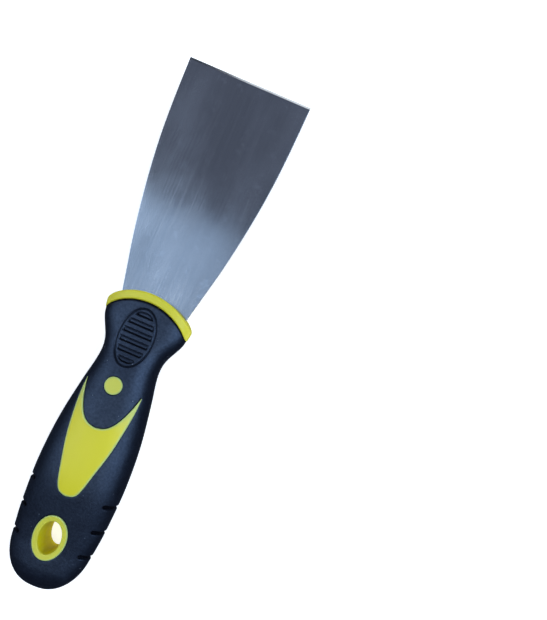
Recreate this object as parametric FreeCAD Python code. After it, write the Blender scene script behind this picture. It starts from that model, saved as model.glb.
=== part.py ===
import FreeCAD, Part
import math
import os

# Flexible putty knife, 50 mm wide, lying face up.
# It has three pieces: a spring-steel blade with its tang, a hard plastic core moulded round the
# tang, and a soft rubber grip moulded over the core.  The core shows where the grip is open: the
# collar, the round dot, the forked inlay and the rim of the hang hole.
#
# +Y runs from the butt of the handle to the scraping edge, +X is to the right and +Z is up.
# While it is built, y is counted from the butt and z from the middle plane of the blade.  At the
# end every piece is moved, so that the origin is under the middle of the knife's box, on the
# surface that it lies on.  All lengths are in millimetres.

# Overall size
LENGTH = 209.5
BLADE_WIDTH = 50.0

# Blade and tang
TANG_THICKNESS = 0.9
TIP_THICKNESS = 0.6
EDGE_THICKNESS = 0.25
EDGE_BEVEL = 0.8
GRIND_START = 121.0
TANG_END = 52.0
TANG_HALF_WIDTH = 7.0
TANG_END_RADIUS = 4.0
TANG_SHOULDER_LOW = 99.0
TANG_SHOULDER_HIGH = 112.0
TANG_HOLE_RADIUS = 3.0
TANG_HOLES = [62.0, 88.0]
# One side of the blade, from the collar to the scraping edge: y and half width
BLADE_SIDE = [
    (TANG_SHOULDER_HIGH, 12.7),
    (119.7, 14.3),
    (128.9, 16.3),
    (138.1, 18.25),
    (151.9, 20.65),
    (165.7, 22.55),
    (179.5, 23.85),
    (193.3, 24.55),
    (LENGTH, BLADE_WIDTH / 2),
]

# Handle: the butt is rounded over these lengths, seen from above and from the side
BUTT_ROUND_PLAN = 17.0
BUTT_ROUND_SIDE = 10.0
BUTT_SQUARENESS = 2.3
BUTT_HALF_WIDTH = 13.9
BUTT_HALF_THICKNESS = 7.4
BUTT_SECTIONS = 10
# Handle sections: y, half width, half thickness and squareness (2 is an ellipse)
SECTIONS = [
    (BUTT_ROUND_PLAN, 15.65, 8.0, 2.3),
    (26.3, 16.7, 9.1, 2.3),
    (35.5, 17.2, 10.7, 2.3),
    (44.0, 17.42, 11.8, 2.3),
    (52.0, 17.25, 11.85, 2.3),
    (60.0, 16.75, 11.6, 2.3),
    (68.0, 15.85, 11.4, 2.3),
    (75.3, 14.65, 11.1, 2.35),
    (83.0, 13.25, 10.7, 2.4),
    (89.0, 12.05, 10.1, 2.45),
    (93.6, 11.6, 9.4, 2.5),
    (98.0, 12.2, 8.7, 2.6),
    (102.9, 14.4, 8.3, 2.7),
    (106.8, 16.05, 8.1, 2.8),
    (112.0, 16.35, 8.1, 2.8),
    (118.0, 16.35, 8.1, 2.8),
    (124.0, 16.35, 8.1, 2.8),
]
SECTION_POINTS = 32
GRIP_WALL = 2.4
# The dot, the inlay and the rim of the hang hole stand this much higher than the grip
PAD_PROUD = 0.1
HALF_THICKNESS = 12.0

# Collar at the front of the handle, flared, between two arcs seen from above
COLLAR_SECTIONS = [
    (100.0, 15.45, 8.1, 2.8),
    (106.5, 16.05, 8.3, 2.8),
    (110.0, 16.85, 8.7, 2.8),
    (113.5, 17.2, 8.9, 2.8),
    (118.0, 17.2, 8.9, 2.8),
    (123.0, 17.15, 8.85, 2.8),
]
COLLAR_FRONT = 119.8
COLLAR_BACK = 116.4
COLLAR_FRONT_RADIUS = 24.0
COLLAR_BACK_RADIUS = 22.0
COLLAR_BEVEL = 0.6

# Round dot
DOT_Y = 83.1
DOT_RADIUS = 3.4

# Forked inlay: outer side and notch, from the middle line to the tip of the horn
INLAY_BOTTOM = 39.2
INLAY_OUTER = [
    (0.0, INLAY_BOTTOM),
    (2.9, 40.1),
    (4.75, 43.2),
    (5.95, 47.6),
    (7.4, 53.4),
    (8.8, 59.3),
    (9.75, 65.2),
    (10.45, 70.8),
    (10.95, 76.5),
    (11.0, 82.3),
]
INLAY_NOTCH = [
    (10.75, 82.3),
    (9.2, 76.5),
    (7.5, 72.3),
    (5.65, 69.3),
    (3.1, 67.25),
    (0.0, 66.5),
]

# Hang hole: an oval through the butt, narrowest at the middle plane
HOLE_Y = 21.8
RIM_HALF_LENGTH = 9.05
RIM_HALF_WIDTH = 6.5
HOLE_HALF_LENGTH = 6.65
HOLE_HALF_WIDTH = 4.3
HOLE_NARROWING = 0.25
HOLE_REACH = 14.0

# Thumb pad on both faces: an oval groove round a field of sunk bars
PAD_Y = 102.4
PAD_HALF_LENGTH = 11.6
PAD_HALF_WIDTH = 7.0
PAD_GROOVE_WIDTH = 0.6
PAD_GROOVE_DEPTH = 0.55
PAD_BARS = 6
PAD_BAR_PITCH = 3.6
PAD_BAR_WIDTH = 1.9
PAD_BAR_DEPTH = 0.4
PAD_MARGIN = 1.3

# Three short notches across each side of the grip near the butt
NOTCH_FIRST = 18.5
NOTCH_PITCH = 10.65
NOTCH_COUNT = 3
NOTCH_WIDTH = 1.7
NOTCH_REACH = 3.6
NOTCH_DEPTH = 1.2

PLAN_REACH = 40.0


def oval_section(y, half_width, half_thickness, squareness):
    """A closed smooth outline across the handle at y."""
    points = []
    for step in range(SECTION_POINTS):
        angle = 2.0 * math.pi * step / SECTION_POINTS
        across = math.cos(angle)
        up = math.sin(angle)
        reach = (abs(across) ** squareness + abs(up) ** squareness) ** (-1.0 / squareness)
        points.append(FreeCAD.Vector(half_width * across * reach, y, half_thickness * up * reach))
    evenly = [step / SECTION_POINTS for step in range(SECTION_POINTS + 1)]
    curve = Part.BSplineCurve()
    curve.interpolate(Points=points, PeriodicFlag=True, Parameters=evenly)
    return Part.Wire(curve.toShape())


def butt_section(turn, inset):
    """A section of the rounded butt; turn goes from 0 at the end to 1 where the rounding stops."""
    angle = 0.5 * math.pi * turn
    power = 2.0 / BUTT_SQUARENESS
    y = inset + (BUTT_ROUND_PLAN - inset) * (1.0 - math.cos(angle) ** power)
    along = y / BUTT_ROUND_PLAN
    first = SECTIONS[0]
    full_width = BUTT_HALF_WIDTH + (first[1] - BUTT_HALF_WIDTH) * along - inset
    full_thickness = BUTT_HALF_THICKNESS + (first[2] - BUTT_HALF_THICKNESS) * along - inset
    side_length = BUTT_ROUND_SIDE - inset
    side_drop = max(0.0, BUTT_ROUND_SIDE - y) / side_length
    half_thickness = full_thickness * math.sqrt(1.0 - side_drop ** 2)
    return oval_section(y, full_width * math.sin(angle) ** power, half_thickness, first[3])


def handle_solid(inset):
    """The handle's outer shape, made smaller all round by inset."""
    wires = []
    for step in range(BUTT_SECTIONS):
        turn = (step + 0.5) / BUTT_SECTIONS
        wires.append(butt_section(turn, inset))
    for y, half_width, half_thickness, squareness in SECTIONS:
        wires.append(oval_section(y, half_width - inset, half_thickness - inset, squareness))
    return Part.makeLoft(wires, True, False)


def plan_solid(wire):
    """A closed outline seen from above, made into a tall solid through the whole knife."""
    face = Part.Face(wire)
    face.translate(FreeCAD.Vector(0, 0, -PLAN_REACH))
    return face.extrude(FreeCAD.Vector(0, 0, 2 * PLAN_REACH))


def spline_edge(pairs):
    """A smooth curve seen from above through (x, y) points."""
    curve = Part.BSplineCurve()
    curve.interpolate([FreeCAD.Vector(x, y, 0) for x, y in pairs])
    return curve.toShape()


def line_edge(start, end):
    """A straight edge seen from above."""
    return Part.makeLine(FreeCAD.Vector(start[0], start[1], 0), FreeCAD.Vector(end[0], end[1], 0))


def mirrored(pairs):
    """The same points on the other side of the middle line."""
    return [(-x, y) for x, y in pairs]


def front_of_arc(apex, radius):
    """Everything in front of an arc across the handle that bulges forward to y = apex."""
    circle = Part.makeCylinder(radius, 2 * PLAN_REACH, FreeCAD.Vector(0, apex - radius, -PLAN_REACH))
    block = Part.makeBox(
        2 * PLAN_REACH, 2 * PLAN_REACH, 2 * PLAN_REACH,
        FreeCAD.Vector(-PLAN_REACH, apex - radius, -PLAN_REACH))
    return block.cut(circle)


def ellipse_wire(y, z, half_length, half_width):
    """An oval seen from above, long along the knife."""
    ellipse = Part.Ellipse(
        FreeCAD.Vector(0, y + half_length, z),
        FreeCAD.Vector(half_width, y, z),
        FreeCAD.Vector(0, y, z))
    return Part.Wire(ellipse.toShape())


def oval_prism(y, half_length, half_width):
    """A tall oval solid through the whole knife."""
    return plan_solid(ellipse_wire(y, 0, half_length, half_width))


def blade_outline():
    """Blade and tang seen from above."""
    right = [(half_width, y) for y, half_width in BLADE_SIDE]
    left = mirrored(right)
    shoulder = (TANG_HALF_WIDTH, TANG_SHOULDER_LOW)
    foot = (TANG_HALF_WIDTH, TANG_END)
    edges = [
        spline_edge(right),
        line_edge(right[-1], left[-1]),
        spline_edge(list(reversed(left))),
        line_edge(left[0], (-shoulder[0], shoulder[1])),
        line_edge((-shoulder[0], shoulder[1]), (-foot[0], foot[1])),
        line_edge((-foot[0], foot[1]), foot),
        line_edge(foot, shoulder),
        line_edge(shoulder, right[0]),
    ]
    return Part.Wire(Part.__sortEdges__(edges))


def blade_wedge():
    """The blade's thickness seen from the side, made wide enough for the whole outline."""
    half_tang = TANG_THICKNESS / 2
    half_tip = TIP_THICKNESS / 2
    profile = [
        (TANG_END - 1, half_tang),
        (GRIND_START, half_tang),
        (LENGTH - EDGE_BEVEL, half_tip),
        (LENGTH, EDGE_THICKNESS - half_tip),
        (LENGTH, -half_tip),
        (GRIND_START, -half_tang),
        (TANG_END - 1, -half_tang),
    ]
    points = [FreeCAD.Vector(-PLAN_REACH, y, z) for y, z in profile]
    points.append(points[0])
    face = Part.Face(Part.makePolygon(points))
    return face.extrude(FreeCAD.Vector(2 * PLAN_REACH, 0, 0))


def make_blade():
    """Spring-steel blade, ground thinner from the collar to the edge, with its tang."""
    blade = plan_solid(blade_outline()).common(blade_wedge())
    corners = [
        edge for edge in blade.Edges
        if abs(edge.BoundBox.YMin - TANG_END) < 0.01 and edge.BoundBox.YLength < 0.01
        and edge.BoundBox.XLength < 0.01]
    blade = blade.makeFillet(TANG_END_RADIUS, corners)
    for y in TANG_HOLES:
        hole = Part.makeCylinder(TANG_HOLE_RADIUS, 2 * PLAN_REACH, FreeCAD.Vector(0, y, -PLAN_REACH))
        blade = blade.cut(hole)
    return blade


def make_collar():
    """Collar band at the front of the core, a little proud of the grip."""
    bar = Part.makeLoft([oval_section(*section) for section in COLLAR_SECTIONS], True, False)
    bar = bar.cut(front_of_arc(COLLAR_FRONT, COLLAR_FRONT_RADIUS))
    bar = bar.common(front_of_arc(COLLAR_BACK, COLLAR_BACK_RADIUS))
    rims = [edge for edge in bar.Edges if edge.BoundBox.XLength > BLADE_WIDTH / 2]
    return bar.makeChamfer(COLLAR_BEVEL, rims)


def inlay_prism():
    """The forked inlay seen from above, as a tall solid."""
    notch_end = INLAY_NOTCH[0]
    horn_end = INLAY_OUTER[-1]
    edges = [
        spline_edge(mirrored(list(reversed(INLAY_OUTER))) + INLAY_OUTER[1:]),
        line_edge(horn_end, notch_end),
        spline_edge(INLAY_NOTCH + mirrored(list(reversed(INLAY_NOTCH)))[1:]),
        line_edge((-notch_end[0], notch_end[1]), (-horn_end[0], horn_end[1])),
    ]
    return plan_solid(Part.Wire(Part.__sortEdges__(edges)))


def dot_prism():
    """The round dot as a tall solid."""
    return Part.makeCylinder(DOT_RADIUS, 2 * PLAN_REACH, FreeCAD.Vector(0, DOT_Y, -PLAN_REACH))


def hang_hole():
    """The oval hole, tapering from both faces to the middle plane."""
    halves = []
    for side in (-1, 1):
        widening = HOLE_NARROWING * HOLE_REACH / HALF_THICKNESS
        middle = ellipse_wire(
            HOLE_Y, 0, HOLE_HALF_LENGTH - HOLE_NARROWING, HOLE_HALF_WIDTH - HOLE_NARROWING)
        outside = ellipse_wire(
            HOLE_Y, side * HOLE_REACH,
            HOLE_HALF_LENGTH - HOLE_NARROWING + widening,
            HOLE_HALF_WIDTH - HOLE_NARROWING + widening)
        halves.append(Part.makeLoft([middle, outside], True, True))
    return halves[0].fuse(halves[1]).removeSplitter()


def core_windows():
    """Tall solids where the core reaches the surface: inlay, dot and rim of the hang hole."""
    return [inlay_prism(), dot_prism(), oval_prism(HOLE_Y, RIM_HALF_LENGTH, RIM_HALF_WIDTH)]


def make_core(blade):
    """Hard plastic core with its collar and everything that shows through the grip."""
    behind_collar = front_of_arc(COLLAR_BACK + 0.5, COLLAR_BACK_RADIUS)
    core = handle_solid(GRIP_WALL).cut(behind_collar)
    core = core.fuse(make_collar())
    proud = handle_solid(-PAD_PROUD)
    for window in core_windows():
        core = core.fuse(proud.common(window))
    core = core.cut(hang_hole())
    return core.cut(blade)


def pad_cutters():
    """Outline groove and bars of the thumb pad, seen from above."""
    groove = oval_prism(PAD_Y, PAD_HALF_LENGTH, PAD_HALF_WIDTH)
    groove = groove.cut(oval_prism(
        PAD_Y, PAD_HALF_LENGTH - PAD_GROOVE_WIDTH, PAD_HALF_WIDTH - PAD_GROOVE_WIDTH))
    field = oval_prism(PAD_Y, PAD_HALF_LENGTH - PAD_MARGIN, PAD_HALF_WIDTH - PAD_MARGIN)
    land = PAD_BAR_PITCH - PAD_BAR_WIDTH
    first_land = PAD_Y - (PAD_BARS / 2 - 1) * PAD_BAR_PITCH - land / 2
    bars = field
    for number in range(PAD_BARS - 1):
        strip = Part.makeBox(
            2 * PLAN_REACH, land, 2 * PLAN_REACH,
            FreeCAD.Vector(-PLAN_REACH, first_land + number * PAD_BAR_PITCH, -PLAN_REACH))
        bars = bars.cut(strip)
    return groove, bars


def notch_cutters():
    """Tall solids for the short notches on both sides of the grip."""
    cutters = []
    for number in range(NOTCH_COUNT):
        y = NOTCH_FIRST + number * NOTCH_PITCH
        inner = SECTIONS[number][1] - NOTCH_REACH
        for side in (-1, 1):
            low = min(side * inner, side * PLAN_REACH)
            cutters.append(Part.makeBox(
                PLAN_REACH - inner, NOTCH_WIDTH, 2 * PLAN_REACH,
                FreeCAD.Vector(low, y - NOTCH_WIDTH / 2, -PLAN_REACH)))
    return cutters


def make_grip(outer):
    """Soft rubber grip over the core, open where the core shows."""
    grip = outer.cut(front_of_arc(COLLAR_BACK, COLLAR_BACK_RADIUS))
    grip = grip.cut(handle_solid(GRIP_WALL))
    for window in core_windows():
        grip = grip.cut(window)
    groove, bars = pad_cutters()
    grip = grip.cut(groove.cut(handle_solid(PAD_GROOVE_DEPTH)))
    grip = grip.cut(bars.cut(handle_solid(PAD_BAR_DEPTH)))
    below_notches = handle_solid(NOTCH_DEPTH)
    for cutter in notch_cutters():
        grip = grip.cut(cutter.cut(below_notches))
    return grip


def export_node(name, shape):
    """Move a finished piece into the knife's own frame and write it."""
    shape = shape.copy()
    shape.translate(FreeCAD.Vector(0, -LENGTH / 2, HALF_THICKNESS))
    shape.exportStep("parts/" + name + ".step")
    box = shape.BoundBox
    print(name, "solids", len(shape.Solids), "valid", shape.isValid(), "volume", round(shape.Volume, 1))
    print("  x", round(box.XMin, 2), round(box.XMax, 2), "y", round(box.YMin, 2), round(box.YMax, 2),
          "z", round(box.ZMin, 2), round(box.ZMax, 2))


def main():
    os.makedirs("parts", exist_ok=True)
    outer = handle_solid(0.0)
    blade = make_blade()
    core = make_core(blade)
    grip = make_grip(outer)
    export_node("blade", blade)
    export_node("core", core)
    export_node("grip", grip)


main()
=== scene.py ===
import math

import bpy
import numpy as np
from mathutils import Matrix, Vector
from mathutils.geometry import delaunay_2d_cdt


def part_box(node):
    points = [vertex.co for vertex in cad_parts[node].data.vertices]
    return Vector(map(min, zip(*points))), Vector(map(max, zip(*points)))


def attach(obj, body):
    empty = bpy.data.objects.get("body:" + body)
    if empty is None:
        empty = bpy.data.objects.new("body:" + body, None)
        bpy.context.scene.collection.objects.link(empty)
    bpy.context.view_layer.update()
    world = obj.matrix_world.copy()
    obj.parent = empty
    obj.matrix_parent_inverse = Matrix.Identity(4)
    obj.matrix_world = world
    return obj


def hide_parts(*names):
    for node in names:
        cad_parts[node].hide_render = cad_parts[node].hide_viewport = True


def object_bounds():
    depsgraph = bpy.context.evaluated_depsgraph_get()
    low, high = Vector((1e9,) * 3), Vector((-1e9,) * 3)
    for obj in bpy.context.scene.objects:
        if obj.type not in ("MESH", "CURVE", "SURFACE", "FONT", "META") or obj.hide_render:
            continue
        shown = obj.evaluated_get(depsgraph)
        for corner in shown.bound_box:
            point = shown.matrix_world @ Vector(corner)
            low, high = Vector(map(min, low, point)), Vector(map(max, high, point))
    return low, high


# Looks of a flexible putty knife: a brushed steel blade, a yellow-green plastic core that shows
# through windows, and a black soft grip.  Sizes are in millimetres, with y counted from the butt
# of the handle and z from the middle plane of the blade, and to_frame() moves them into the frame.

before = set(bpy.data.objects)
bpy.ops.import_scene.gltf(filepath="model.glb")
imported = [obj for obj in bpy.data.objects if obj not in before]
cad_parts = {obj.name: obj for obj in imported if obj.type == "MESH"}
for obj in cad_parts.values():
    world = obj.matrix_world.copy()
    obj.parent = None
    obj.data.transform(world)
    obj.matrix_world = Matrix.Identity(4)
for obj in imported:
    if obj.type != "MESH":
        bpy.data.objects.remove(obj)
cad_low, cad_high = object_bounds()
blade_low, blade_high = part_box("blade")

MM = 0.001
BUTT = cad_low[1] / MM
MIDDLE = 0.5 * (blade_low[2] + blade_high[2]) / MM
LENGTH = (cad_high[1] - cad_low[1]) / MM
BLADE_HALF_WIDTH = 0.5 * (blade_high[0] - blade_low[0]) / MM

# Blade: y and half width along one side, then thickness
TANG_END = 52.0
TANG_HALF_WIDTH = 7.0
TANG_SHOULDERS = (99.0, 112.0)
BLADE_SIDE = [
    (TANG_SHOULDERS[1], 12.7),
    (119.7, 14.3),
    (128.9, 16.3),
    (138.1, 18.25),
    (151.9, 20.65),
    (165.7, 22.55),
    (179.5, 23.85),
    (193.3, 24.55),
    (LENGTH, BLADE_HALF_WIDTH),
]
GRIND_START = 121.0
HALF_TANG = 0.45
HALF_TIP = 0.3
EDGE_BEVEL = 0.8
EDGE_THICKNESS = 0.25
BLADE_CORNER = 0.09
BLADE_WAVE = 0.035
BLADE_WAVE_FADE = 25.0

# Handle: rounded butt, then sections as y, half width, half thickness and squareness
BUTT_ROUND_PLAN = 17.0
BUTT_ROUND_SIDE = 10.0
BUTT_SQUARENESS = 2.3
BUTT_HALF_WIDTH = 13.9
BUTT_HALF_THICKNESS = 7.4
SECTIONS = [
    (BUTT_ROUND_PLAN, 15.65, 8.0, 2.3),
    (26.3, 16.7, 9.1, 2.3),
    (35.5, 17.2, 10.7, 2.3),
    (44.0, 17.42, 11.8, 2.3),
    (52.0, 17.25, 11.85, 2.3),
    (60.0, 16.75, 11.6, 2.3),
    (68.0, 15.85, 11.4, 2.3),
    (75.3, 14.65, 11.1, 2.35),
    (83.0, 13.25, 10.7, 2.4),
    (89.0, 12.05, 10.1, 2.45),
    (93.6, 11.6, 9.4, 2.5),
    (98.0, 12.2, 8.7, 2.6),
    (102.9, 14.4, 8.3, 2.7),
    (106.8, 16.05, 8.1, 2.8),
    (112.0, 16.35, 8.1, 2.8),
    (118.0, 16.35, 8.1, 2.8),
    (124.0, 16.35, 8.1, 2.8),
]
GRIP_WALL = 2.4
GRIP_FRONT_ROUND = 0.6
GRIP_FRONT_GAP = 0.12
GRIP_SHEAR_START = 88.0

# Collar: flared sections as y, half width and half thickness, and its two arcs seen from above
COLLAR_SECTIONS = [
    (100.0, 15.45, 8.1),
    (106.5, 16.05, 8.3),
    (110.0, 16.85, 8.7),
    (113.5, 17.2, 8.9),
    (118.0, 17.2, 8.9),
    (123.0, 17.15, 8.85),
]
COLLAR_SQUARENESS = 2.8
COLLAR_FRONT = 119.8
COLLAR_BACK = 116.4
COLLAR_FRONT_RADIUS = 24.0
COLLAR_BACK_RADIUS = 22.0
COLLAR_ROUND = 0.75
COLLAR_BACK_INSET = 2.6
SLOT_HALF_WIDTH = 14.6
SLOT_GAP = 0.08
SLOT_DEPTH = 4.0

# Places where the core shows
DOT_Y = 83.1
DOT_RADIUS = 3.4
INLAY_OUTER = [
    (0.0, 39.2), (2.9, 40.1), (4.75, 43.2), (5.95, 47.6), (7.4, 53.4),
    (8.8, 59.3), (9.75, 65.2), (10.45, 70.8), (10.95, 76.5), (11.0, 82.3),
]
INLAY_NOTCH = [
    (10.75, 82.3), (9.2, 76.5), (7.5, 72.3), (5.65, 69.3), (3.1, 67.25), (0.0, 66.5),
]
HOLE_Y = 21.8
RIM_HALF_LENGTH = 9.05
RIM_HALF_WIDTH = 6.5
HOLE_HALF_LENGTH = 6.65
HOLE_HALF_WIDTH = 4.3
HOLE_NARROWING = 0.25
PAD_PROUD = 0.08
PAD_EDGE_ROUND = 0.3
PAD_WALL = 1.2
PAD_GAP = 0.05
HOLE_ROUND = 0.5

# Thumb pad and side notches in the grip
PAD_Y = 102.4
PAD_HALF_LENGTH = 11.6
PAD_HALF_WIDTH = 7.0
PAD_GROOVE_HALF = 0.23
PAD_GROOVE_DEPTH = 0.55
PAD_BARS = 6
PAD_BAR_PITCH = 3.6
PAD_BAR_HALF = 0.95
PAD_BAR_DEPTH = 0.25
PAD_EDGE_HALF = 0.2
PAD_EDGE_DEPTH = 0.5
PAD_BAR_CORNER = 0.45
PAD_MARGIN = 1.3
NOTCH_FIRST = 18.5
NOTCH_PITCH = 10.65
NOTCH_COUNT = 3
NOTCH_HALF = 0.85
NOTCH_REACH = 3.6
NOTCH_DEPTH = 1.2
LIP_ROUND = 0.3

# How finely the pieces are divided
ROUND_STEPS = 384
GRIP_STEP = 0.25
PAD_STEP = 0.12
INLAY_STEP = 0.5
OUTLINE_STEP = 0.18
DOT_STEPS = 96
HOLE_STEPS = 160
BODY_STEP = 1.5
BLADE_COLUMNS = 61


def to_frame(points):
    """Knife millimetres to frame metres."""
    return (np.asarray(points, float) + (0.0, BUTT, MIDDLE)) * MM


def natural_spline(pairs):
    """A smooth function through (x, value) pairs."""
    xs = np.array([pair[0] for pair in pairs], float)
    ys = np.array([pair[1] for pair in pairs], float)
    gaps = np.diff(xs)
    slopes = np.diff(ys) / gaps
    count = len(xs)
    matrix = np.eye(count)
    right = np.zeros(count)
    for i in range(1, count - 1):
        matrix[i, i - 1:i + 2] = gaps[i - 1], 2 * (gaps[i - 1] + gaps[i]), gaps[i]
        right[i] = 6 * (slopes[i] - slopes[i - 1])
    bends = np.linalg.solve(matrix, right)

    def value(x):
        x = np.asarray(x, float)
        i = np.clip(np.searchsorted(xs, x) - 1, 0, count - 2)
        left = x - xs[i]
        rest = xs[i + 1] - x
        gap = gaps[i]
        return (
            (bends[i] * rest ** 3 + bends[i + 1] * left ** 3) / (6 * gap)
            + (ys[i] / gap - bends[i] * gap / 6) * rest
            + (ys[i + 1] / gap - bends[i + 1] * gap / 6) * left)

    return value


def spline_path(points, step):
    """Points spaced by about step along a smooth curve through the given ones."""
    points = np.array(points, float)
    along = np.concatenate([[0.0], np.cumsum(np.hypot(*np.diff(points, axis=0).T))])
    places = np.linspace(0.0, along[-1], max(2, int(round(along[-1] / step))) + 1)
    columns = [natural_spline(list(zip(along, points[:, axis])))(places) for axis in (0, 1)]
    return np.stack(columns, axis=1)


def whole_turn(steps):
    """Evenly spaced angles round a whole turn."""
    return 2.0 * math.pi * np.arange(steps) / steps


def smooth_step(low, high, value):
    """0 below low, 1 above high and smooth between."""
    part = np.clip((value - low) / (high - low), 0.0, 1.0)
    return part * part * (3.0 - 2.0 * part)


# ---------------------------------------------------------------- handle surface

collar_width_at = natural_spline([(row[0], row[1]) for row in COLLAR_SECTIONS])
collar_thickness_at = natural_spline([(row[0], row[2]) for row in COLLAR_SECTIONS])
width_at = natural_spline([(row[0], row[1]) for row in SECTIONS])
thickness_at = natural_spline([(row[0], row[2]) for row in SECTIONS])
squareness_at = natural_spline([(row[0], row[3]) for row in SECTIONS])


def section_sizes(y):
    """Half width, half thickness and squareness of the handle at y."""
    y = np.asarray(y, float)
    body = np.maximum(y, BUTT_ROUND_PLAN)
    along = np.clip(y / BUTT_ROUND_PLAN, 0.0, 1.0)
    first = SECTIONS[0]
    plan = (1.0 - (1.0 - along) ** BUTT_SQUARENESS) ** (1.0 / BUTT_SQUARENESS)
    side = np.sqrt(1.0 - (np.maximum(0.0, BUTT_ROUND_SIDE - y) / BUTT_ROUND_SIDE) ** 2)
    width = (BUTT_HALF_WIDTH + (first[1] - BUTT_HALF_WIDTH) * along) * plan
    thickness = (BUTT_HALF_THICKNESS + (first[2] - BUTT_HALF_THICKNESS) * along) * side
    in_body = y > BUTT_ROUND_PLAN
    return (
        np.where(in_body, width_at(body), width),
        np.where(in_body, thickness_at(body), thickness),
        squareness_at(body))


def oval(angle, half_width, half_thickness, squareness):
    """x and z on a rounded-square outline."""
    across = np.cos(angle)
    up = np.sin(angle)
    reach = (np.abs(across) ** squareness + np.abs(up) ** squareness) ** (-1.0 / squareness)
    return half_width * across * reach, half_thickness * up * reach


def face_height(x, y):
    """Height of the handle's face above the middle plane."""
    width, thickness, squareness = section_sizes(y)
    inside = np.clip(1.0 - np.abs(x / width) ** squareness, 0.0, 1.0)
    return thickness * inside ** (1.0 / squareness)


def arc_y(x, apex, radius):
    """y of an arc that bulges forward to apex."""
    return apex - radius + np.sqrt(radius ** 2 - np.asarray(x, float) ** 2)


# ---------------------------------------------------------------- distances seen from above

def oval_distance(x, y, centre_y, half_length, half_width):
    """Distance outside an oval, negative inside it."""
    across = x / half_width
    along = (y - centre_y) / half_length
    size = np.sqrt(across ** 2 + along ** 2) + 1e-9
    steep = np.sqrt((across / half_width) ** 2 + (along / half_length) ** 2) / size + 1e-9
    return (size - 1.0) / steep


def inlay_outline():
    """The forked inlay's closed outline, running round once."""
    outer = spline_path(INLAY_OUTER, OUTLINE_STEP)
    notch = spline_path(INLAY_NOTCH, OUTLINE_STEP)
    right = np.concatenate([outer, notch])
    left = right[::-1] * (-1.0, 1.0)
    return np.concatenate([right, left[1:-1]])


INLAY = inlay_outline()


def outline_distance(x, y, outline):
    """Distance outside a closed outline, negative inside it."""
    shape = np.shape(x)
    spots = np.stack([np.ravel(x), np.ravel(y)], axis=1)
    nearest = np.full(len(spots), 1e9)
    crossings = np.zeros(len(spots), int)
    for start, end in zip(outline, np.roll(outline, -1, axis=0)):
        side = end - start
        offset = spots - start
        part = np.clip(offset @ side / (side @ side), 0.0, 1.0)
        nearest = np.minimum(nearest, np.hypot(*(offset - part[:, None] * side).T))
        spans = (start[1] > spots[:, 1]) != (end[1] > spots[:, 1])
        if side[1] != 0.0:
            crossing_x = start[0] + (spots[:, 1] - start[1]) * side[0] / side[1]
            crossings += spans & (spots[:, 0] < crossing_x)
    return np.where(crossings % 2 == 1, -nearest, nearest).reshape(shape)


def inlay_distance(x, y):
    """Distance outside the inlay, worked out only near it."""
    result = np.full(np.shape(x), 9.0)
    near = (np.abs(x) < INLAY[:, 0].max() + 2.0)
    near &= (y > INLAY[:, 1].min() - 2.0) & (y < INLAY[:, 1].max() + 2.0)
    result[near] = outline_distance(x[near], y[near], INLAY)
    return result


def lip_depth(distance):
    """How far the grip's surface rolls down beside a window in it."""
    inward = np.clip(LIP_ROUND - distance, 0.0, LIP_ROUND)
    roll = LIP_ROUND - np.sqrt(LIP_ROUND ** 2 - inward ** 2)
    return roll + smooth_step(0.0, 0.35, -distance) * (PAD_WALL - LIP_ROUND)


def groove_depth(distance, half_width, depth, soft=0.16):
    """Depth of a groove along a line."""
    return depth * (1.0 - smooth_step(half_width - soft * 0.5, half_width + soft, np.abs(distance)))


def thumb_pad_depth(x, y):
    """Oval groove round six bars, each with a groove at its edge that is deepest toward the butt."""
    outline = oval_distance(
        x, y, PAD_Y, PAD_HALF_LENGTH - PAD_GROOVE_HALF, PAD_HALF_WIDTH - PAD_GROOVE_HALF)
    depth = groove_depth(outline, PAD_GROOVE_HALF, PAD_GROOVE_DEPTH)
    field = oval_distance(x, y, PAD_Y, PAD_HALF_LENGTH - PAD_MARGIN, PAD_HALF_WIDTH - PAD_MARGIN)
    row = np.floor((y - PAD_Y) / PAD_BAR_PITCH) + 0.5
    row = np.clip(row, 0.5 - PAD_BARS / 2, PAD_BARS / 2 - 0.5)
    ahead = y - PAD_Y - row * PAD_BAR_PITCH
    bar = np.abs(ahead) - PAD_BAR_HALF
    field_in = field + PAD_BAR_CORNER
    bar_in = bar + PAD_BAR_CORNER
    both = np.hypot(np.maximum(field_in, 0.0), np.maximum(bar_in, 0.0))
    inner = np.maximum(field_in, bar_in)
    distance = np.where((field_in > 0.0) & (bar_in > 0.0), both, inner) - PAD_BAR_CORNER
    sunk = PAD_BAR_DEPTH * (1.0 - smooth_step(-0.2, 0.0, distance))
    edge_depth = PAD_EDGE_DEPTH * (0.45 + 0.55 * smooth_step(0.4, -0.7, ahead))
    edge = groove_depth(distance + PAD_EDGE_HALF, PAD_EDGE_HALF, 1.0) * edge_depth
    return depth + sunk + edge


def notch_depth(x, y):
    """Short notches across both sides near the butt."""
    depth = np.zeros(np.shape(x))
    for number in range(NOTCH_COUNT):
        centre = NOTCH_FIRST + number * NOTCH_PITCH
        inner = SECTIONS[number][1] - NOTCH_REACH
        past = np.maximum(0.0, inner + NOTCH_HALF - np.abs(x))
        distance = np.hypot(y - centre, past) - NOTCH_HALF
        depth = np.maximum(depth, NOTCH_DEPTH * (1.0 - smooth_step(-0.4, 0.1, distance)))
    return depth


def window_distances(x, y):
    """Distances outside the inlay, the dot and the hole's rim."""
    return [
        inlay_distance(x, y),
        np.hypot(x, y - DOT_Y) - DOT_RADIUS,
        oval_distance(x, y, HOLE_Y, RIM_HALF_LENGTH, RIM_HALF_WIDTH),
    ]


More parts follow.
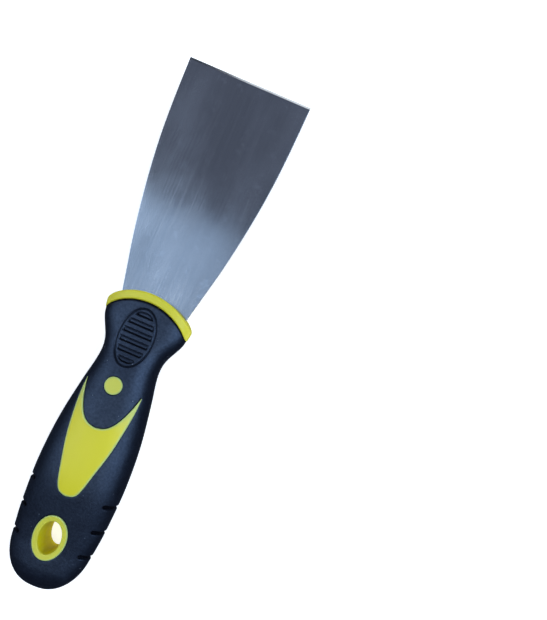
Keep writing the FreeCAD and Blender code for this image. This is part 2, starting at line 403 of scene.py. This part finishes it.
def grip_depth(x, y):
    """Everything that is sunk into the grip's surface."""
    depth = thumb_pad_depth(x, y) + notch_depth(x, y)
    return depth + lip_depth(np.min(window_distances(x, y), axis=0))


# ---------------------------------------------------------------- mesh helpers

def ring_faces(rows, columns):
    """Four-sided faces of a tube made of rows of points that close on themselves."""
    row = np.arange(rows - 1)[:, None] * columns
    column = np.arange(columns)[None, :]
    following = (column + 1) % columns
    corners = [row + column, row + following, row + columns + following, row + columns + column]
    return np.stack([np.broadcast_to(corner, (rows - 1, columns)).ravel() for corner in corners], 1)


def open_at_hole(points, faces):
    """Leaves out the faces that lie well inside the hang hole's rim."""
    centres = points[faces].mean(axis=1)
    rim = oval_distance(centres[:, 0], centres[:, 1], HOLE_Y, RIM_HALF_LENGTH, RIM_HALF_WIDTH)
    return [list(face) for face, away in zip(faces, rim) if away > -1.0]


def store(piece, name, values):
    """Keeps a value at each point of the mesh for the material to read."""
    piece.data.attributes.new(name, "FLOAT", "POINT").data.foreach_set("value", values)


def make_piece(name, parts, material, node):
    """One object from several (points, faces) parts, in the frame."""
    points = []
    faces = []
    for part_points, part_faces in parts:
        start = sum(len(block) for block in points)
        points.append(np.asarray(part_points, float).reshape(-1, 3))
        faces.extend([[int(corner) + start for corner in face] for face in part_faces])
    mesh = bpy.data.meshes.new(name)
    mesh.from_pydata(to_frame(np.concatenate(points)).tolist(), [], faces)
    mesh.validate()
    mesh.shade_smooth()
    mesh.materials.append(material)
    piece = bpy.data.objects.new(name, mesh)
    bpy.context.collection.objects.link(piece)
    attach(piece, "root")
    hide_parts(node)
    return piece


def surface_normals(points):
    """Outward directions of a grid whose columns close on themselves."""
    along = np.gradient(points, axis=0)
    around = np.roll(points, -1, axis=1) - np.roll(points, 1, axis=1)
    normals = np.cross(along, around)
    lengths = np.linalg.norm(normals, axis=2, keepdims=True)
    normals /= np.maximum(lengths, 1e-12)
    outward = np.sum(normals * (points * (1.0, 0.0, 1.0)), axis=(0, 1)).sum()
    return normals if outward > 0 else -normals


# ---------------------------------------------------------------- grip

def grip_rows():
    """y of each row of the grip's surface before its front end is sheared to the collar."""
    turns = np.linspace(0.0, 0.5 * math.pi, int(BUTT_ROUND_PLAN * 1.5 / GRIP_STEP))[1:]
    butt = BUTT_ROUND_PLAN * (1.0 - np.cos(turns))
    front = COLLAR_BACK - GRIP_FRONT_GAP
    pad_start = PAD_Y - PAD_HALF_LENGTH - 1.0
    body = np.arange(BUTT_ROUND_PLAN + GRIP_STEP, pad_start, GRIP_STEP)
    return np.concatenate([butt, body, np.arange(pad_start, front, PAD_STEP), [front]])


def sheared(y, x):
    """Moves rows near the front so that the last one follows the collar's back arc."""
    front = COLLAR_BACK - GRIP_FRONT_GAP
    share = np.clip((y - GRIP_SHEAR_START) / (front - GRIP_SHEAR_START), 0.0, 1.0)
    end = arc_y(x, COLLAR_BACK, COLLAR_BACK_RADIUS) - GRIP_FRONT_GAP
    return y + share ** 1.5 * (end - front)


def handle_grid(rows, inset):
    """Points of the handle's surface, moved in by inset."""
    angle = whole_turn(ROUND_STEPS)[None, :]
    y = np.broadcast_to(rows[:, None], (len(rows), ROUND_STEPS))
    width, _, _ = section_sizes(y)
    plain_x, _ = oval(angle, width, 1.0, COLLAR_SQUARENESS)
    y = sheared(y, plain_x)
    width, thickness, squareness = section_sizes(y)
    x, z = oval(angle, width - inset, thickness - inset, squareness)
    return np.stack([x, y, z], axis=2)


def make_grip(material):
    """Black soft grip with its windows, thumb pads and notches."""
    points = handle_grid(grip_rows(), 0.0)
    normals = surface_normals(points)
    depth = grip_depth(points[:, :, 0], points[:, :, 1])
    points = points - normals * depth[:, :, None]
    curled = []
    for turn in np.linspace(0.0, 0.5 * math.pi, 6)[1:]:
        ring = points[-1] - normals[-1] * GRIP_FRONT_ROUND * (1.0 - math.cos(turn))
        ring[:, 1] += GRIP_FRONT_ROUND * (math.sin(turn) - 1.0)
        curled.append(ring)
    points[-1, :, 1] -= GRIP_FRONT_ROUND
    tuck = curled[-1] - normals[-1] * (GRIP_WALL - GRIP_FRONT_ROUND)
    grid = np.concatenate([points, curled, [tuck]])
    flat = grid.reshape(-1, 3)
    faces = open_at_hole(flat, ring_faces(len(grid), ROUND_STEPS))
    butt = len(flat)
    faces += [[butt, (step + 1) % ROUND_STEPS, step] for step in range(ROUND_STEPS)]
    flat = np.concatenate([flat, [[0.0, 0.0, 0.0]]])
    piece = make_piece("grip_moulding", [(flat, faces)], material, "grip")
    sunk = np.concatenate([depth, np.full((len(curled) + 1, ROUND_STEPS), 1.0)]).ravel()
    ahead = arc_y(flat[:, 0], COLLAR_BACK, COLLAR_BACK_RADIUS) - GRIP_FRONT_GAP - flat[:, 1]
    # Painted shade: full in the grooves, notches, window lips and curled front, and fading in along the
    # front edge beside the collar; the material darkens colour and reflection there.
    dark = np.maximum(smooth_step(0.15, 0.85, np.append(sunk, 0.0)), smooth_step(1.1, 0.4, ahead))
    store(piece, "painted_shade", dark)
    return piece


# ---------------------------------------------------------------- core

def pad_height(inside):
    """Height of a pad over the handle's surface, inside being the distance from its edge."""
    short = np.clip(PAD_EDGE_ROUND - inside, 0.0, PAD_EDGE_ROUND)
    return PAD_PROUD - (PAD_EDGE_ROUND - np.sqrt(PAD_EDGE_ROUND ** 2 - short ** 2))


def pad_rings(outline_at, count):
    """Rows of a round or oval pad, from its sunk wall over its edge to its middle."""
    rows = []
    insets = [0.0] + [PAD_EDGE_ROUND * share for share in (0.0, 0.08, 0.25, 0.5, 0.75, 1.0)]
    drops = [PAD_WALL] + [0.0] * 6
    for inset, drop in zip(insets, drops):
        x, y = outline_at(inset + PAD_GAP, count)
        rows.append(np.stack([x, y, face_height(x, y) + pad_height(inset) - drop], axis=1))
    return rows


def both_faces(points, faces):
    """The same part on the front and on the back."""
    back = points * (1.0, 1.0, -1.0)
    turned = [list(reversed(list(face))) for face in faces]
    return [(points, faces), (back, turned)]


def dot_parts():
    """The round dot on both faces."""
    def outline_at(inset, steps):
        angle = whole_turn(steps)
        return (DOT_RADIUS - inset) * np.cos(angle), DOT_Y + (DOT_RADIUS - inset) * np.sin(angle)

    rows = pad_rings(outline_at, DOT_STEPS)
    for share in np.linspace(1.0, 0.0, 9)[1:-1]:
        x, y = outline_at(DOT_RADIUS - share * (DOT_RADIUS - PAD_EDGE_ROUND - PAD_GAP), DOT_STEPS)
        rows.append(np.stack([x, y, face_height(x, y) + PAD_PROUD], axis=1))
    points = np.concatenate(rows)
    faces = [list(face) for face in ring_faces(len(rows), DOT_STEPS)]
    middle = len(points)
    last = middle - DOT_STEPS
    faces += [[last + step, last + (step + 1) % DOT_STEPS, middle] for step in range(DOT_STEPS)]
    centre = [0.0, DOT_Y, float(face_height(0.0, DOT_Y)) + PAD_PROUD]
    return both_faces(np.concatenate([points, [centre]]), faces)


def inlay_parts():
    """The forked inlay on both faces, divided so that its edge is smooth."""
    following = np.roll(INLAY, -1, axis=0) - np.roll(INLAY, 1, axis=0)
    inward = np.stack([-following[:, 1], following[:, 0]], axis=1)
    inward /= np.linalg.norm(inward, axis=1, keepdims=True)
    edge = INLAY + inward * PAD_GAP
    spots = [edge]
    for share in (0.1, 0.28, 0.55, 1.0):
        inset = PAD_EDGE_ROUND * share
        ring = edge + inward * inset
        away = -outline_distance(ring[:, 0], ring[:, 1], edge)
        spots.append(ring[away > inset * 0.97])
    xs = np.arange(INLAY[:, 0].min(), INLAY[:, 0].max(), INLAY_STEP)
    ys = np.arange(INLAY[:, 1].min(), INLAY[:, 1].max(), INLAY_STEP)
    grid = np.stack(np.meshgrid(xs, ys), axis=2).reshape(-1, 2)
    away = -outline_distance(grid[:, 0], grid[:, 1], edge)
    spots.append(grid[away > PAD_EDGE_ROUND + 0.3 * INLAY_STEP])
    flat = np.concatenate(spots)
    loop = [(step, (step + 1) % len(edge)) for step in range(len(edge))]
    result = delaunay_2d_cdt([Vector(spot) for spot in flat], loop, [], 1, 1e-6)
    flat = np.array([tuple(spot) for spot in result[0]])
    inside = -outline_distance(flat[:, 0], flat[:, 1], edge)
    height = face_height(flat[:, 0], flat[:, 1]) + pad_height(np.maximum(inside, 0.0))
    top = np.stack([flat[:, 0], flat[:, 1], height], axis=1)
    faces = [list(face) for face in result[2]]
    centres = np.array([flat[face].mean(axis=0) for face in faces])
    kept = outline_distance(centres[:, 0], centres[:, 1], edge) < 0.0
    faces = [face for face, keep in zip(faces, kept) if keep]
    wall_top = np.stack([edge[:, 0], edge[:, 1], face_height(*edge.T) + pad_height(0.0)], axis=1)
    wall = np.concatenate([wall_top, wall_top - (0.0, 0.0, PAD_WALL)])
    wall_faces = [list(reversed(list(face))) for face in ring_faces(2, len(edge))]
    return both_faces(top, faces) + both_faces(wall, wall_faces)


def lining_parts():
    """The hang hole's rim on both faces with its lining, which narrows to a ridge half way."""
    angle = whole_turn(HOLE_STEPS)

    def ring(half_length, half_width, rise, shrink=1.0):
        x = half_width * np.cos(angle)
        y = HOLE_Y + half_length * np.sin(angle)
        return np.stack([x, y, (face_height(x, y) + rise) * shrink], axis=1)

    rows = [ring(RIM_HALF_LENGTH - PAD_GAP, RIM_HALF_WIDTH - PAD_GAP, -PAD_WALL - 0.6)]
    for share in (0.0, 0.08, 0.25, 0.5, 0.75, 1.0):
        inset = PAD_GAP + PAD_EDGE_ROUND * share
        rows.append(ring(
            RIM_HALF_LENGTH - inset, RIM_HALF_WIDTH - inset, float(pad_height(inset - PAD_GAP))))
    for share in np.linspace(0.0, 1.0, 6)[1:]:
        inset = PAD_GAP + PAD_EDGE_ROUND
        outer_length = RIM_HALF_LENGTH - inset
        outer_width = RIM_HALF_WIDTH - inset
        inner_length = HOLE_HALF_LENGTH + HOLE_ROUND
        inner_width = HOLE_HALF_WIDTH + HOLE_ROUND
        rows.append(ring(
            outer_length + (inner_length - outer_length) * share,
            outer_width + (inner_width - outer_width) * share, PAD_PROUD - 0.1 * share))
    for turn in np.linspace(0.0, 0.5 * math.pi, 6)[1:]:
        inset = HOLE_ROUND * (1.0 - math.sin(turn))
        rows.append(ring(
            HOLE_HALF_LENGTH + inset, HOLE_HALF_WIDTH + inset, -HOLE_ROUND * (1.0 - math.cos(turn))))
    for share in np.linspace(1.0, 0.0, 22)[1:]:
        inset = HOLE_NARROWING * (1.0 - share)
        rows.append(ring(HOLE_HALF_LENGTH - inset, HOLE_HALF_WIDTH - inset, -HOLE_ROUND, share))
    lower = [row * (1.0, 1.0, -1.0) for row in reversed(rows[:-1])]
    rows = rows + lower
    return [(np.concatenate(rows), ring_faces(len(rows), HOLE_STEPS))]


def collar_parts():
    """Collar band with rounded rims, closed in front round the blade's slot."""
    angle = whole_turn(ROUND_STEPS)
    rows = []

    widest = max(section[1] for section in COLLAR_SECTIONS)

    def row(inset, forward, share):
        rough_x, _ = oval(angle, widest - inset, 1.0, COLLAR_SQUARENESS)
        back = arc_y(rough_x, COLLAR_BACK, COLLAR_BACK_RADIUS)
        front = arc_y(rough_x, COLLAR_FRONT, COLLAR_FRONT_RADIUS)
        y = back + (front - back) * share + forward
        x, z = oval(
            angle, collar_width_at(y) - inset, collar_thickness_at(y) - inset, COLLAR_SQUARENESS)
        return np.stack([x, y, z], axis=1)

    rows.append(row(COLLAR_BACK_INSET, 0.0, 0.0))
    for turn in np.linspace(0.0, 0.5 * math.pi, 7):
        sunk = COLLAR_ROUND * (1.0 - math.sin(turn))
        rows.append(row(sunk, COLLAR_ROUND * (1.0 - math.cos(turn)), 0.0))
    first = rows[-1]
    last = row(0.0, -COLLAR_ROUND, 1.0)
    for share in np.linspace(0.0, 1.0, 12)[1:-1]:
        y = first[:, 1] + (last[:, 1] - first[:, 1]) * share
        x, z = oval(angle, collar_width_at(y), collar_thickness_at(y), COLLAR_SQUARENESS)
        rows.append(np.stack([x, y, z], axis=1))
    for turn in np.linspace(0.0, 0.5 * math.pi, 7):
        sunk = COLLAR_ROUND * (1.0 - math.cos(turn))
        rows.append(row(sunk, COLLAR_ROUND * (math.sin(turn) - 1.0), 1.0))
    rim_x = rows[-1][:, 0]
    rim_y = rows[-1][:, 1]
    rim_z = rows[-1][:, 2]
    slot_x = np.cos(angle) * SLOT_HALF_WIDTH
    squared = np.sign(np.sin(angle)) * np.minimum(np.abs(np.sin(angle)) * 4.0, 1.0)
    slot_z = squared * (HALF_TANG + SLOT_GAP)
    slot_y = arc_y(slot_x, COLLAR_FRONT, COLLAR_FRONT_RADIUS)
    for share in np.linspace(0.0, 1.0, 14)[1:]:
        x = rim_x + (slot_x - rim_x) * share
        y = rim_y + (slot_y - rim_y) * share
        z = rim_z + (slot_z - rim_z) * share
        rows.append(np.stack([x, y, z], axis=1))
    tuck = rows[-1].copy()
    tuck[:, 1] -= SLOT_DEPTH
    rows.append(tuck)
    return [(np.concatenate(rows), ring_faces(len(rows), ROUND_STEPS))]


def body_parts():
    """The part of the core that the grip covers."""
    rows = np.concatenate([[4.0, 5.0, 7.0, 10.0, 14.0], np.arange(18.0, 116.0, BODY_STEP)])
    points = handle_grid(rows, GRIP_WALL)[:, ::4]
    columns = points.shape[1]
    flat = points.reshape(-1, 3)
    faces = open_at_hole(flat, ring_faces(len(rows), columns))
    faces.append(list(range(columns)))
    return [(flat, faces)]


def make_core(material):
    """Hard plastic core with a painted sheen, palest at the rolled edges of its windows and at the inlay's
    two narrow tips, lighter on the dot, the hole's rim and the collar, and with painted shade inside the
    hang hole.
    """
    parts = collar_parts() + dot_parts() + inlay_parts() + lining_parts() + body_parts()
    piece = make_piece("core_moulding", parts, material, "core")
    points = np.empty(3 * len(piece.data.vertices))
    piece.data.vertices.foreach_get("co", points)
    x, y, z = (points.reshape(-1, 3) / MM - (0.0, BUTT, MIDDLE)).T
    outside = np.min(np.abs(window_distances(x, y)), axis=0)
    hole = oval_distance(x, y, HOLE_Y, HOLE_HALF_LENGTH, HOLE_HALF_WIDTH)
    # Shares of the painted sheen, which the material mixes toward a pale green.
    ring = 0.8 * (1.0 - smooth_step(0.15, 0.8, outside))
    horns = 0.7 * smooth_step(66.0, 82.0, y) * (inlay_distance(x, y) < 0.2)
    dot = 0.28 * (np.hypot(x, y - DOT_Y) < DOT_RADIUS + 0.2)
    collar = 0.08 * (y > DOT_Y + 10.0)
    rim = 0.2 * (hole > -0.1) * (y < HOLE_Y + 10.0)
    store(piece, "pale", np.max([ring, horns, dot, collar, rim], axis=0))
    # Painted shade: how far each point lies down inside the hang hole, where the material deepens and
    # darkens the yellow.
    store(piece, "painted_hole_shade", (hole < 0.1) * smooth_step(0.0, 1.5, face_height(x, y) - np.abs(z)))
    return piece


# ---------------------------------------------------------------- blade

side_at = natural_spline(BLADE_SIDE)


def blade_half_width(y):
    """Half width of the tang, its shoulders and the blade."""
    low, high = TANG_SHOULDERS
    shoulder = TANG_HALF_WIDTH + (BLADE_SIDE[0][1] - TANG_HALF_WIDTH) * (y - low) / (high - low)
    return np.where(y > high, side_at(np.maximum(y, high)), np.maximum(shoulder, TANG_HALF_WIDTH))


def blade_faces_at(y):
    """Heights of the top and bottom faces."""
    ground = np.clip((y - GRIND_START) / (LENGTH - EDGE_BEVEL - GRIND_START), 0.0, 1.0)
    half = HALF_TANG + (HALF_TIP - HALF_TANG) * ground
    bevel = np.clip((y - LENGTH + EDGE_BEVEL) / EDGE_BEVEL, 0.0, 1.0)
    return half - bevel * (2 * HALF_TIP - EDGE_THICKNESS), -half


def make_blade(material):
    """Steel blade with slightly broken edges and the faint waviness of thin sheet."""
    rows = np.concatenate([
        np.linspace(TANG_END, GRIND_START, 60)[:-1],
        np.linspace(GRIND_START, LENGTH - EDGE_BEVEL, 200),
        LENGTH - EDGE_BEVEL * np.array([0.97, 0.7, 0.4, 0.1, 0.0])])
    across = np.concatenate([[-1.0], np.linspace(-0.995, 0.995, BLADE_COLUMNS - 2), [1.0]])
    rings = []
    for y in rows:
        half = float(blade_half_width(y))
        top, bottom = (float(value) for value in blade_faces_at(y))
        corner = min(BLADE_CORNER, 0.45 * (top - bottom))
        flat = across * (half - corner)
        turns = np.radians([60.0, 30.0, 0.0])
        right_x = half - corner + corner * np.cos(turns)
        upper_z = top - corner + corner * np.sin(turns)
        lower_z = bottom + corner - corner * np.sin(turns)
        x = np.concatenate([flat, right_x, right_x[::-1], flat[::-1], -right_x, -right_x[::-1]])
        z = np.concatenate([
            np.full(BLADE_COLUMNS, top), upper_z, lower_z[::-1],
            np.full(BLADE_COLUMNS, bottom), lower_z, upper_z[::-1]])
        rings.append(np.stack([x, np.full(len(x), y), z], axis=1))
    points = np.concatenate(rings)
    free = smooth_step(GRIND_START, GRIND_START + BLADE_WAVE_FADE, points[:, 1])
    wave = np.sin(points[:, 1] / 11.0 + points[:, 0] / 17.0) + np.sin(
        points[:, 0] / 6.5 - points[:, 1] / 23.0 + 1.3)
    points[:, 2] += BLADE_WAVE * free * wave
    columns = len(rings[0])
    faces = [list(reversed(list(face))) for face in ring_faces(len(rings), columns)]
    faces.append(list(range(columns)))
    faces.append(list(reversed(range(len(points) - columns, len(points)))))
    return make_piece("blade_sheet", [(points, faces)], material, "blade")


# ---------------------------------------------------------------- materials

class Nodes:
    """Short calls for building a node material."""

    def __init__(self, name):
        self.material = bpy.data.materials.new(name)
        self.material.use_nodes = True
        self.tree = self.material.node_tree
        self.shader = self.tree.nodes["Principled BSDF"]
        coordinates = self.tree.nodes.new("ShaderNodeTexCoord")
        self.place = coordinates.outputs["Object"]

    def link(self, output, socket):
        self.tree.links.new(output, socket)

    def stretched(self, scale, turn=(0.0, 0.0, 0.0)):
        """Object coordinates turned and stretched."""
        mapping = self.tree.nodes.new("ShaderNodeMapping")
        mapping.inputs["Scale"].default_value = scale
        mapping.inputs["Rotation"].default_value = turn
        self.link(self.place, mapping.inputs["Vector"])
        return mapping.outputs["Vector"]

    def attribute(self, name):
        """A value stored on the mesh."""
        node = self.tree.nodes.new("ShaderNodeAttribute")
        node.attribute_name = name
        return node.outputs["Fac"]

    def noise(self, scale, detail=3.0, vector=None, roughness=0.55):
        """Noise from 0 to 1; scale is in features per metre unless the vector is stretched."""
        node = self.tree.nodes.new("ShaderNodeTexNoise")
        node.inputs["Scale"].default_value = scale
        node.inputs["Detail"].default_value = detail
        node.inputs["Roughness"].default_value = roughness
        self.link(vector or self.place, node.inputs["Vector"])
        return node.outputs["Fac"]

    def spots(self, scale):
        """Distance to scattered points."""
        node = self.tree.nodes.new("ShaderNodeTexVoronoi")
        node.inputs["Scale"].default_value = scale
        self.link(self.place, node.inputs["Vector"])
        return node.outputs["Distance"]

    def remap(self, value, low, high, to_low, to_high):
        """Value from low..high to to_low..to_high, held at the ends."""
        node = self.tree.nodes.new("ShaderNodeMapRange")
        node.inputs["From Min"].default_value = low
        node.inputs["From Max"].default_value = high
        node.inputs["To Min"].default_value = to_low
        node.inputs["To Max"].default_value = to_high
        self.link(value, node.inputs["Value"])
        return node.outputs["Result"]

    def combine(self, operation, first, second=0.0):
        """Maths on two values, where the second may be a number."""
        node = self.tree.nodes.new("ShaderNodeMath")
        node.operation = operation
        self.link(first, node.inputs[0])
        if isinstance(second, (int, float)):
            node.inputs[1].default_value = second
        else:
            self.link(second, node.inputs[1])
        return node.outputs["Value"]

    def blend(self, share, first, second):
        """A colour between two, which may be colours or outputs."""
        node = self.tree.nodes.new("ShaderNodeMix")
        node.data_type = "RGBA"
        self.link(share, node.inputs["Factor"])
        for socket, colour in ((node.inputs[6], first), (node.inputs[7], second)):
            if isinstance(colour, tuple):
                socket.default_value = (*colour, 1.0)
            else:
                self.link(colour, socket)
        return node.outputs[2]

    def bump(self, height, depth):
        """Small relief of the given depth in metres."""
        node = self.tree.nodes.new("ShaderNodeBump")
        node.inputs["Strength"].default_value = 1.0
        node.inputs["Distance"].default_value = depth
        self.link(height, node.inputs["Height"])
        return node.outputs["Normal"]


def steel_material():
    """Steel brushed lengthwise, with fine scratches and smears."""
    make = Nodes("brushed_steel")
    streaks = make.noise(1.0, 3.0, make.stretched((2400.0, 30.0, 300.0)))
    broad = make.noise(1.0, 2.0, make.stretched((420.0, 22.0, 60.0)))
    scratches = []
    for number, turn in enumerate((0.35, -0.6, 1.2)):
        lines = make.noise(1.0, 1.0, make.stretched(
            (900.0, 55.0 + 8.0 * number, 900.0), (0.0, 0.0, turn)), roughness=0.3)
        narrow = make.combine("ABSOLUTE", make.combine("SUBTRACT", lines, 0.5))
        scratches.append(make.remap(narrow, 0.0, 0.006, 1.0, 0.0))
    patches = make.remap(make.noise(70.0, 2.0), 0.55, 0.68, 0.0, 1.0)
    scratch = make.combine("MAXIMUM", scratches[0], scratches[1])
    scratch = make.combine("MAXIMUM", scratch, scratches[2])
    scratch = make.combine("MULTIPLY", scratch, patches)
    haze = make.noise(52.0, 4.0, make.stretched((1.0, 0.6, 1.0)), 0.5)
    bands = make.noise(1.0, 3.0, make.stretched((150.0, 14.0, 30.0), (0.0, 0.0, 0.12)))
    colour = make.blend(make.remap(streaks, 0.3, 0.7, 0.0, 1.0), (0.51, 0.52, 0.53), (0.56, 0.56, 0.56))
    colour = make.blend(make.remap(bands, 0.40, 0.60, 0.0, 0.35), colour, (0.43, 0.44, 0.45))
    colour = make.blend(make.remap(haze, 0.42, 0.66, 0.0, 0.5), colour, (0.66, 0.67, 0.68))
    smears = make.remap(make.noise(240.0, 5.0, roughness=0.62), 0.58, 0.76, 0.0, 0.4)
    marks = make.combine("MAXIMUM", smears, make.combine("MULTIPLY", scratch, 0.3))
    colour = make.blend(marks, colour, (0.78, 0.80, 0.82))
    make.link(colour, make.shader.inputs["Base Color"])
    dull = make.remap(haze, 0.38, 0.7, 0.0, 0.06)
    rough = make.combine("ADD", make.remap(streaks, 0.3, 0.7, 0.08, 0.13), dull)
    rough = make.combine("ADD", rough, make.combine("MULTIPLY", scratch, 0.07))
    make.link(rough, make.shader.inputs["Roughness"])
    make.shader.inputs["Metallic"].default_value = 1.0
    relief = make.combine("MULTIPLY", streaks, 0.18)
    relief = make.combine("ADD", relief, make.combine("MULTIPLY", broad, 2.0))
    relief = make.combine("SUBTRACT", relief, make.combine("MULTIPLY", scratch, 0.6))
    make.link(make.bump(relief, 0.0000009), make.shader.inputs["Normal"])
    return make.material


def plastic_material():
    """Yellow-green plastic with a satin skin and faint flow marks, a painted pale sheen on edges and tips,
    and painted shade inside the hole, where it is also duller.
    """
    make = Nodes("core_plastic")
    flow = make.noise(1.0, 3.0, make.stretched((90.0, 28.0, 90.0)))
    fine = make.noise(2600.0, 2.0)
    colour = make.blend(flow, (0.85, 0.72, 0.016), (0.93, 0.785, 0.028))
    # Painted sheen: a paler, greener colour where the core stores it.
    colour = make.blend(make.attribute("pale"), colour, (0.52, 0.68, 0.26))
    # Painted shade inside the hang hole: a deeper, darker yellow.
    colour = make.blend(make.attribute("painted_hole_shade"), colour, (0.74, 0.65, 0.001))
    make.link(colour, make.shader.inputs["Base Color"])
    rough = make.remap(make.noise(300.0, 3.0), 0.3, 0.7, 0.34, 0.46)
    make.link(rough, make.shader.inputs["Roughness"])
    # The painted shade in the hole also turns the reflection down.
    shine = make.remap(make.attribute("painted_hole_shade"), 0.0, 1.0, 0.4, 0.15)
    make.link(shine, make.shader.inputs["Specular IOR Level"])
    make.shader.inputs["Subsurface Weight"].default_value = 0.12
    make.shader.inputs["Subsurface Radius"].default_value = (0.0012, 0.0012, 0.0003)
    make.shader.inputs["Subsurface Scale"].default_value = 1.0
    make.link(make.bump(fine, 0.000008), make.shader.inputs["Normal"])
    return make.material


def rubber_material():
    """Black soft grip with a fine grain, dull patches, pale specks that are partly dust and partly painted
    glints, and painted shade where it is sunk.
    """
    make = Nodes("grip_rubber")
    fine = make.noise(2200.0, 3.0)
    mottle = make.noise(160.0, 4.0)
    # Pale specks: partly dust, partly painted glints standing in for tiny highlights.
    specks = make.remap(make.spots(420.0), 0.05, 0.10, 1.0, 0.0)
    few = make.remap(make.noise(260.0, 1.0), 0.52, 0.60, 0.0, 1.0)
    dust_and_glints = make.combine("MULTIPLY", specks, few)
    colour = make.blend(mottle, (0.0008, 0.001, 0.003), (0.002, 0.0028, 0.007))
    colour = make.blend(make.combine("MULTIPLY", dust_and_glints, 0.6), colour, (0.30, 0.34, 0.40))
    # Painted shade: colour darkened and reflection turned down in grooves, notches, window lips and beside
    # the collar.
    painted_shade = make.attribute("painted_shade")
    colour = make.blend(painted_shade, colour, (0.003, 0.003, 0.005))
    make.link(colour, make.shader.inputs["Base Color"])
    rough = make.remap(mottle, 0.3, 0.7, 0.40, 0.50)
    make.link(rough, make.shader.inputs["Roughness"])
    grain = make.noise(1100.0, 2.0)
    shine = make.remap(painted_shade, 0.0, 1.0, 0.86, 0.05)
    shine = make.combine("MULTIPLY", shine, make.remap(grain, 0.3, 0.7, 0.8, 1.2))
    make.link(shine, make.shader.inputs["Specular IOR Level"])
    make.shader.inputs["Specular Tint"].default_value = (0.53, 0.69, 1.0, 1.0)
    relief = make.combine("ADD", fine, make.combine("MULTIPLY", mottle, 0.8))
    relief = make.combine("ADD", relief, make.combine("MULTIPLY", grain, 1.2))
    make.link(make.bump(relief, 0.00004), make.shader.inputs["Normal"])
    return make.material


def floor_material():
    """Plain pale floor with the faintest grain."""
    make = Nodes("pale_floor")
    colour = make.blend(make.noise(25.0, 4.0), (0.90, 0.89, 0.87), (0.93, 0.92, 0.90))
    make.link(colour, make.shader.inputs["Base Color"])
    make.shader.inputs["Roughness"].default_value = 0.7
    make.shader.inputs["Specular IOR Level"].default_value = 0.2
    make.shader.inputs["Emission Color"].default_value = (1.0, 1.0, 1.0, 1.0)
    make.shader.inputs["Emission Strength"].default_value = 0.7
    return make.material


# ---------------------------------------------------------------- studio

CAMERA_LENS = 36.54
CAMERA_SHIFT = (0.0, 0.1165)
CAMERA_X = 53.4
CAMERA_Y = 107.5
CAMERA_HEIGHT = 241.0
CAMERA_TURN = 23.3


def make_camera():
    """Camera straight above, turned so that the knife leans to the right."""
    data = bpy.data.cameras.new("camera")
    data.sensor_width = 36.0
    data.lens = CAMERA_LENS
    data.shift_x, data.shift_y = CAMERA_SHIFT
    data.clip_start = 0.01
    camera = bpy.data.objects.new("camera", data)
    camera.location = to_frame([CAMERA_X, CAMERA_Y, CAMERA_HEIGHT])
    camera.rotation_euler = (0.0, 0.0, math.radians(CAMERA_TURN))
    bpy.context.collection.objects.link(camera)
    bpy.context.scene.camera = camera


def make_light(name, place, target, size, power, colour):
    """A soft rectangular lamp; place, target and size are in metres."""
    data = bpy.data.lights.new(name, "AREA")
    data.shape = "RECTANGLE"
    data.size = size[0]
    data.size_y = size[1]
    data.energy = power
    data.color = colour
    lamp = bpy.data.objects.new(name, data)
    lamp.location = place
    direction = Vector(target) - Vector(place)
    lamp.rotation_euler = direction.to_track_quat("-Z", "Y").to_euler()
    bpy.context.collection.objects.link(lamp)


# The lamp that the blade mirrors: its front edge makes the line across the steel
SKY_X = -0.585
SKY_FRONT = 0.262
SKY_HEIGHT = 1.1
SKY_SIZE = (0.95, 0.45)


def make_world():
    """A dim bluish surrounding that is darker toward the horizon."""
    world = bpy.data.worlds.new("studio")
    world.use_nodes = True
    background = world.node_tree.nodes["Background"]
    background.inputs["Color"].default_value = (0.115, 0.137, 0.198, 1.0)
    direction = world.node_tree.nodes.new("ShaderNodeTexCoord")
    parts = world.node_tree.nodes.new("ShaderNodeSeparateXYZ")
    fade = world.node_tree.nodes.new("ShaderNodeMapRange")
    fade.inputs["From Min"].default_value = 0.25
    fade.inputs["From Max"].default_value = 0.85
    fade.inputs["To Min"].default_value = 0.35
    world.node_tree.links.new(direction.outputs["Generated"], parts.inputs["Vector"])
    world.node_tree.links.new(parts.outputs["Z"], fade.inputs["Value"])
    world.node_tree.links.new(fade.outputs["Result"], background.inputs["Strength"])
    bpy.context.scene.world = world


def make_studio():
    """Pale floor under five soft lamps."""
    bpy.ops.mesh.primitive_grid_add(x_subdivisions=4, y_subdivisions=4, size=6.0)
    floor = bpy.context.object
    floor.name = "floor"
    floor.data.materials.append(floor_material())
    floor.visible_glossy = False
    sky_y = SKY_FRONT - 0.5 * SKY_SIZE[1]
    make_light(
        "mirrored_sky", (SKY_X, sky_y, SKY_HEIGHT), (SKY_X, sky_y, 0.0), SKY_SIZE, 0.81, (0.46, 0.68, 1.0))
    make_light("overhead", (0.0, -0.21, 1.15), (0.0, -0.21, 0.0), (2.2, 0.42), 4.4, (0.82, 0.92, 1.0))
    make_light("right_fill", (1.35, 0.34, 1.2), (0.0, 0.0, 0.0), (1.6, 1.6), 24.0, (0.58, 0.76, 1.0))
    make_light("left_fill", (-1.1, 0.0, 1.2), (0.0, 0.0, 0.0), (0.9, 1.4), 6.5, (0.62, 0.78, 1.0))
    make_light("edge_light", (0.05, 1.4, 0.5), (0.0, 0.1, 0.0), (0.75, 0.4), 1.2, (0.88, 0.94, 1.0))
    bpy.context.scene.view_settings.view_transform = "Standard"


make_blade(steel_material())
make_core(plastic_material())
make_grip(rubber_material())
make_camera()
make_world()
make_studio()
